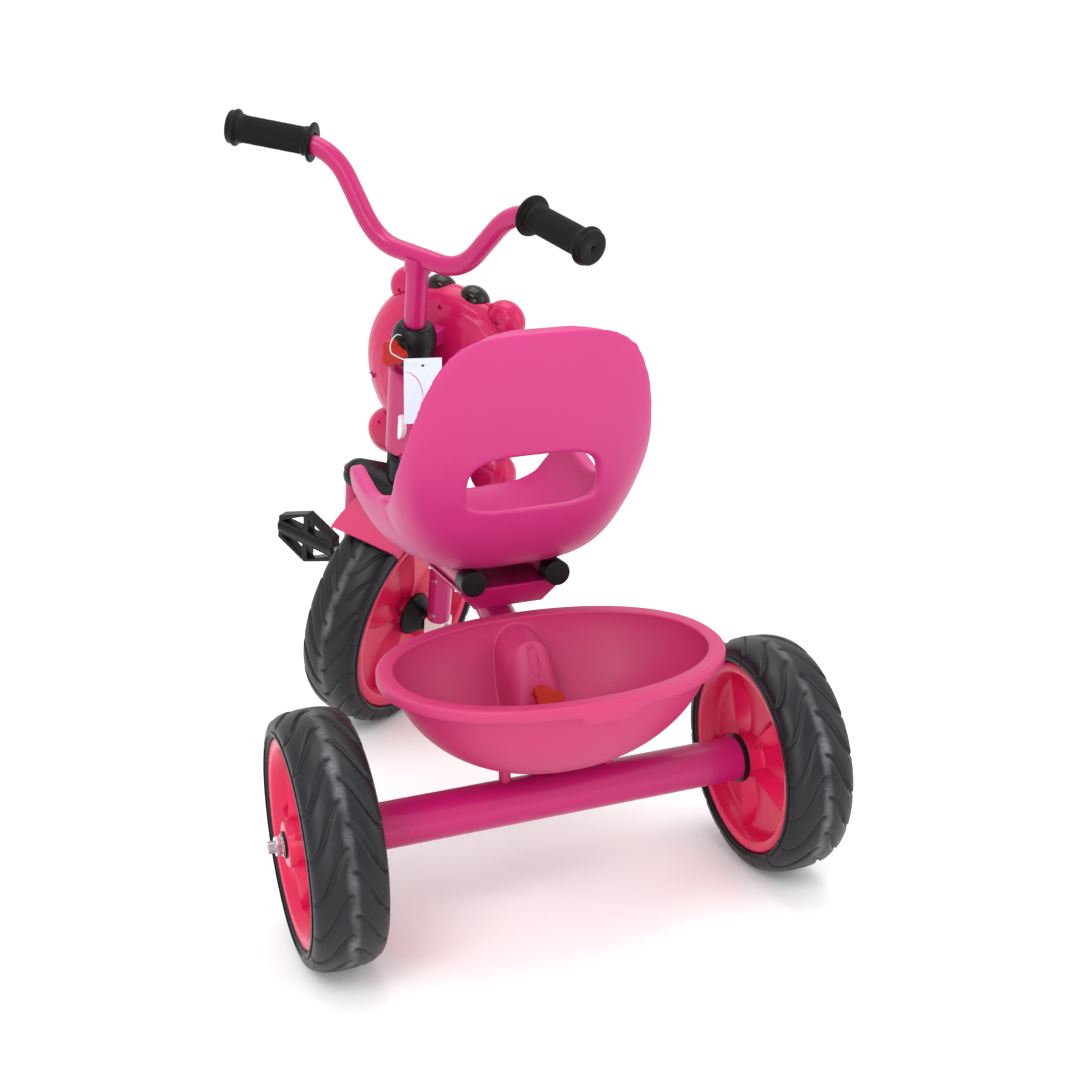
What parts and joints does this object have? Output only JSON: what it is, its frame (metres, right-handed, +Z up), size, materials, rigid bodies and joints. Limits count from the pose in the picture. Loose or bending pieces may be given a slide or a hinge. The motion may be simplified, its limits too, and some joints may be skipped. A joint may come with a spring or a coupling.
{
  "type": "children's tricycle",
  "caption": "Children's tricycle with moulded seat and basket, foam-tyred wheels, front pedals and a handlebar that slides in a clamping collar.",
  "frame": {"origin": "on the floor, under the middle of the whole object, in the middle plane of the frame", "axes": "+X to the rider's right, +Y forward, +Z up"},
  "size_m": [0.492, 0.7005, 0.6748],
  "materials": {
    "magenta_paint": "gloss powder coat",
    "pink_matte": "fine grain",
    "pink_gloss": "gloss",
    "muzzle_pink": "gloss",
    "dark_gloss": "gloss",
    "black_plastic": "satin",
    "grip_rubber": "satin",
    "foam_tyre": "matt",
    "plated_steel": "bright",
    "bare_steel": "satin",
    "white_nylon": "satin",
    "red_plastic": "gloss",
    "white_film": "gloss",
    "white_card": "matt",
    "white_thread": "matt"
  },
  "bodies": {
    "frame": {"rear_axle_tube": "magenta_paint", "main_tube": "magenta_paint", "head_tube": "magenta_paint", "head_bushes": "black_plastic", "head_tube_cover": "pink_gloss", "cover_decal": "white_film", "seat_bracket": "magenta_paint", "seat_rails": "magenta_paint", "rail_caps": "black_plastic", "seat": "pink_matte", "seat_bolts": "plated_steel", "basket": "pink_matte", "rear_axle_rod": "bare_steel", "axle_tube_plugs": "black_plastic", "axle_nuts": "plated_steel", "axle_washers": "black_plastic"},
    "rear_left_wheel": {"rear_left_tyre": "foam_tyre", "rear_left_rim": "pink_gloss", "rear_left_bushes": "black_plastic"},
    "rear_right_wheel": {"rear_right_tyre": "foam_tyre", "rear_right_rim": "pink_gloss", "rear_right_bushes": "black_plastic"},
    "fork": {"steerer": "bare_steel", "fork_crown": "magenta_paint", "fork_legs": "magenta_paint", "fork_shoulders": "black_plastic", "lower_bearing_cover": "black_plastic", "head_collar": "black_plastic", "bearing_blocks": "white_nylon", "leg_screws": "plated_steel", "mudguard": "pink_gloss", "mudguard_screws": "plated_steel", "bear_back": "pink_gloss", "bear_front": "pink_gloss", "bear_ears": "pink_gloss", "bear_paws": "pink_gloss", "bear_hat": "dark_gloss", "bear_muzzle": "muzzle_pink", "bear_eyes": "dark_gloss", "bear_screws": "plated_steel", "bear_bracket": "magenta_paint", "swing_tag": "white_card", "tag_string": "white_thread"},
    "front_wheel": {"front_tyre": "foam_tyre", "front_rim": "pink_gloss", "hub_cones": "black_plastic", "crank_axle": "bare_steel"},
    "left_pedal_body": {"left_pedal": "black_plastic"},
    "right_pedal_body": {"right_pedal": "black_plastic"},
    "handlebar_body": {"handlebar": "magenta_paint", "stem": "magenta_paint", "stem_gussets": "magenta_paint", "left_grip": "grip_rubber", "right_grip": "grip_rubber"},
    "collar_knob_body": {"collar_knob": "red_plastic"},
    "basket_knob_body": {"basket_knob": "red_plastic"}
  },
  "joints": [
    {"name": "steering", "type": "hinge", "parent": "frame", "child": "fork", "pos_m": [0, 0.1412, 0.4], "axis": [0, -0.3551, 0.9348], "range_deg": [-8.4, 111.6]},
    {"name": "front_wheel_spin", "type": "hinge", "parent": "fork", "child": "front_wheel", "pos_m": [-0.00784, 0.23589, 0.13324], "axis": [0.6211, -0.7326, -0.2783], "continuous": true},
    {"name": "left_pedal_spin", "type": "hinge", "parent": "front_wheel", "child": "left_pedal_body", "pos_m": [-0.08517, 0.31325, 0.20434], "axis": [0.6211, -0.7326, -0.2783], "continuous": true},
    {"name": "right_pedal_spin", "type": "hinge", "parent": "front_wheel", "child": "right_pedal_body", "pos_m": [0.0695, 0.15853, 0.06213], "axis": [0.6211, -0.7326, -0.2783], "continuous": true},
    {"name": "handlebar_height", "type": "slide", "parent": "fork", "child": "handlebar_body", "axis": [0, -0.3551, 0.9348], "range_m": [-0.012, 0.045]},
    {"name": "collar_knob_turn", "type": "hinge", "parent": "fork", "child": "collar_knob_body", "pos_m": [-0.02116, 0.10919, 0.43705], "axis": [-0.7837, -0.5807, -0.2206], "range_deg": [0, 360]},
    {"name": "basket_knob_turn", "type": "hinge", "parent": "frame", "child": "basket_knob_body", "pos_m": [0, -0.1949, 0.165], "axis": [0, -0.8767, 0.4811], "range_deg": [0, 360]},
    {"name": "rear_left_wheel_spin", "type": "hinge", "parent": "frame", "child": "rear_left_wheel", "pos_m": [-0.201, -0.2434, 0.105], "axis": [1, 0, 0], "continuous": true},
    {"name": "rear_right_wheel_spin", "type": "hinge", "parent": "frame", "child": "rear_right_wheel", "pos_m": [0.201, -0.2434, 0.105], "axis": [1, 0, 0], "continuous": true}
  ]
}
